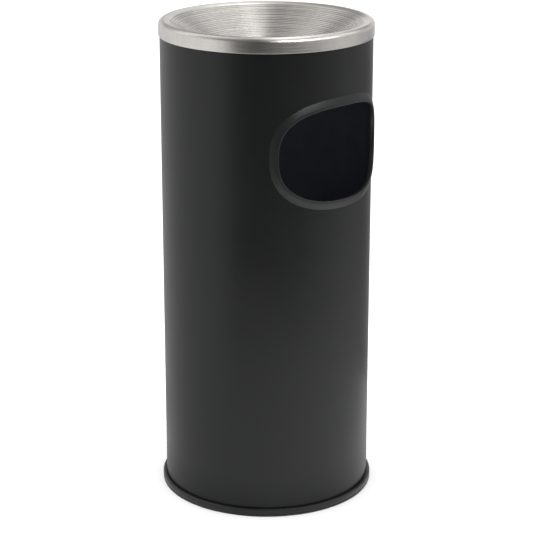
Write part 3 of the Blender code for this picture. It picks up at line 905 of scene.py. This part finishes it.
def screen():
    """The low round reflector: pale to the bin's left and back, dark before it, and mid grey to its
    right. Its rim rises with its distance from the bin. It has one set of shades up to about half a
    metre and another above that, and a paler band near the floor."""
    steps = 96
    corners = []
    for i in range(steps):
        foot = bearing(360 * i / steps, 0, SCREEN_RADIUS) - AHEAD * SCREEN_FORWARD
        rim = SCREEN_HEIGHT + SCREEN_RISE * math.hypot(foot.x, foot.y)
        corners += [(foot.x, foot.y, 0), (foot.x, foot.y, rim)]
    count = len(corners)
    faces = [(2 * i, (2 * i + 2) % count, (2 * i + 3) % count, 2 * i + 1) for i in range(steps)]
    mesh = bpy.data.meshes.new("screen")
    mesh.from_pydata(corners, [], faces)
    n = Nodes("screen")
    height = n.height()
    upper = [(-180, 0.80), (-140, 0.76), (-90, 0.86), (-56, 0.95), (-42, 0.74), (-30, 0.18)]
    upper += [(-12, 0.035), (8, 0.045), (33, 0.11), (50, 0.34), (71, 0.58), (97, 0.62)]
    upper += [(130, 0.70), (160, 0.95), (180, 1.0)]
    lower = [(-180, 0.32), (-158, 0.52), (-133, 0.70), (-113, 0.81), (-95, 0.91), (-56, 0.97), (-42, 0.74)]
    lower += [(-30, 0.18), (-12, 0.035), (8, 0.045), (33, 0.11), (50, 0.34), (71, 0.58), (84, 0.68)]
    lower += [(97, 0.62), (113, 0.40), (122, 0.28), (133, 0.36), (150, 0.72), (180, 0.80)]
    near_floor = [(-60, 0.04), (0, 0.12), (14, 0.20), (29, 0.33), (44, 0.45), (60, 0.45), (77, 0.33)]
    near_floor += [(97, 0.12), (122, 0.12), (140, 0)]
    lift = n.maths("MULTIPLY", by_bearing(n, near_floor), n.remap(height, 0.09, 0.20, 1, 0))
    high = n.remap(height, 0.46, 0.56, 0, 1)
    low = n.maths("SUBTRACT", 1, high)
    shade = n.maths("MULTIPLY", by_bearing(n, upper), high)
    shade = n.maths("ADD", shade, n.maths("MULTIPLY", by_bearing(n, lower), low))
    glow(n, n.maths("ADD", shade, lift))
    mesh.materials.append(n.material)
    reflector("screen", mesh)


def table():
    """The floor as the bin reflects it: pale before the bin, darker behind it and close to it."""
    steps = 96
    corners = []
    for i in range(steps):
        for radius in (TABLE_INNER, TABLE_OUTER):
            x, y, _ = bearing(360 * i / steps, 0, radius)
            corners.append((x, y, 2 * MM))
    count = len(corners)
    faces = [(2 * i, 2 * i + 1, (2 * i + 3) % count, (2 * i + 2) % count) for i in range(steps)]
    mesh = bpy.data.meshes.new("table")
    mesh.from_pydata(corners, [], faces)
    n = Nodes("table")
    shades = [(-180, 0.20), (-150, 0.45), (-110, 0.88), (-60, 0.96), (-20, 1.04), (0, 1.14), (30, 1.30)]
    shades += [(60, 1.38), (80, 1.25), (110, 0.95), (140, 0.70), (180, 0.50)]
    glow(n, n.maths("MULTIPLY", by_bearing(n, shades), n.remap(n.radius(), TABLE_INNER, 0.21, 0.55, 1)))
    mesh.materials.append(n.material)
    reflector("table", mesh)


def tent():
    """The domed tent: paler overhead than before the bin, with a bright strip and a dark strip side
    by side over it. Its shades go by how far a direction leans to the camera's right and ahead."""
    turns = [math.tau * k / 48 for k in range(48)]
    rows = []
    for i in range(12):
        up = math.radians(90 * i / 12)
        level = TENT_RADIUS * math.cos(up)
        high = TENT_RADIUS * math.sin(up)
        rows.append([(level * math.cos(t), level * math.sin(t), high) for t in turns])
    rows.append([(0, 0, TENT_RADIUS)])
    n = Nodes("tent")
    right, ahead = n.leanings()
    sides = [(-1, 1.15), (-0.6, 1.15), (-0.45, 1.15), (-0.34, 1.18), (-0.24, 1.08), (-0.17, 0.72)]
    sides += [(-0.09, 0.64), (0.0, 1.35), (0.07, 2.45), (0.23, 2.45), (0.33, 0.78), (0.5, 1.0)]
    sides += [(0.7, 1.2), (1, 1.2)]
    depths = [(-1, 0.10), (-0.5, 0.20), (-0.1, 0.60), (0.15, 1.0), (0.35, 1.0), (0.5, 0.62)]
    depths += [(0.68, 0.42), (1, 0.36)]
    across = by_lean(n, right, TENT_RADIUS, sides)
    glow(n, n.maths("MULTIPLY", across, by_lean(n, ahead, TENT_RADIUS, depths)))
    mesh = rows_to_mesh("tent", rows)
    mesh.materials.append(n.material)
    reflector("tent", mesh)


def studio():
    """A pale floor, a white surround, a soft light overhead, and the surfaces that gloss reflects."""
    scene = bpy.context.scene
    scene.view_settings.view_transform = "Standard"
    world = bpy.data.worlds.new("surround")
    world.use_nodes = True
    background = world.node_tree.nodes["Background"]
    background.inputs["Color"].default_value = (1.0, 1.0, 1.0, 1.0)
    background.inputs["Strength"].default_value = SURROUND_STRENGTH
    scene.world = world

    ground = bpy.data.meshes.new("ground")
    size = FLOOR_HALF_WIDTH
    corners = [(-size, -size, 0), (size, -size, 0), (size, size, 0), (-size, size, 0)]
    ground.from_pydata(corners, [], [(0, 1, 2, 3)])
    floor = placed("ground", ground)
    pale = Nodes("pale_floor")
    pale.set(Base_Color=(0.95, 0.95, 0.95, 1), Roughness=0.9, Specular_IOR_Level=0.1)
    floor.data.materials.append(pale.material)

    softbox("top", 0, 90, 2.5, 0.6, 0.6, 24)
    panel("key", 32, 34, 2.2, 1.3, 0.6, 7.0)
    panel("fill", 64, 32, 2.2, 1.2, 0.6, 3.5)
    screen()
    table()
    tent()


def camera():
    """A long lens, looking slightly down at the bin from its front left."""
    data = bpy.data.cameras.new("camera")
    data.sensor_width = 36.0
    data.lens = CAMERA_LENS
    data.clip_end = 50.0
    made = bpy.data.objects.new("camera", data)
    bpy.context.scene.collection.objects.link(made)
    made.location = (
        CAMERA_DISTANCE * math.sin(CAMERA_AZIMUTH),
        -CAMERA_DISTANCE * math.cos(CAMERA_AZIMUTH),
        CAMERA_HEIGHT,
    )
    made.rotation_euler = (math.pi / 2 - CAMERA_PITCH, 0, CAMERA_AZIMUTH)
    bpy.context.scene.camera = made


camera()
wall()
trim()
foot()
plate()
dish()
liner_wall()
liner_rim_wire()
liner_floor()
ear("ear_right")
ear("ear_left")
for node in sorted(frame["nodes"]):
    if node.startswith("ear_rivet"):
        rivet(node)
bail()
grip()
studio()
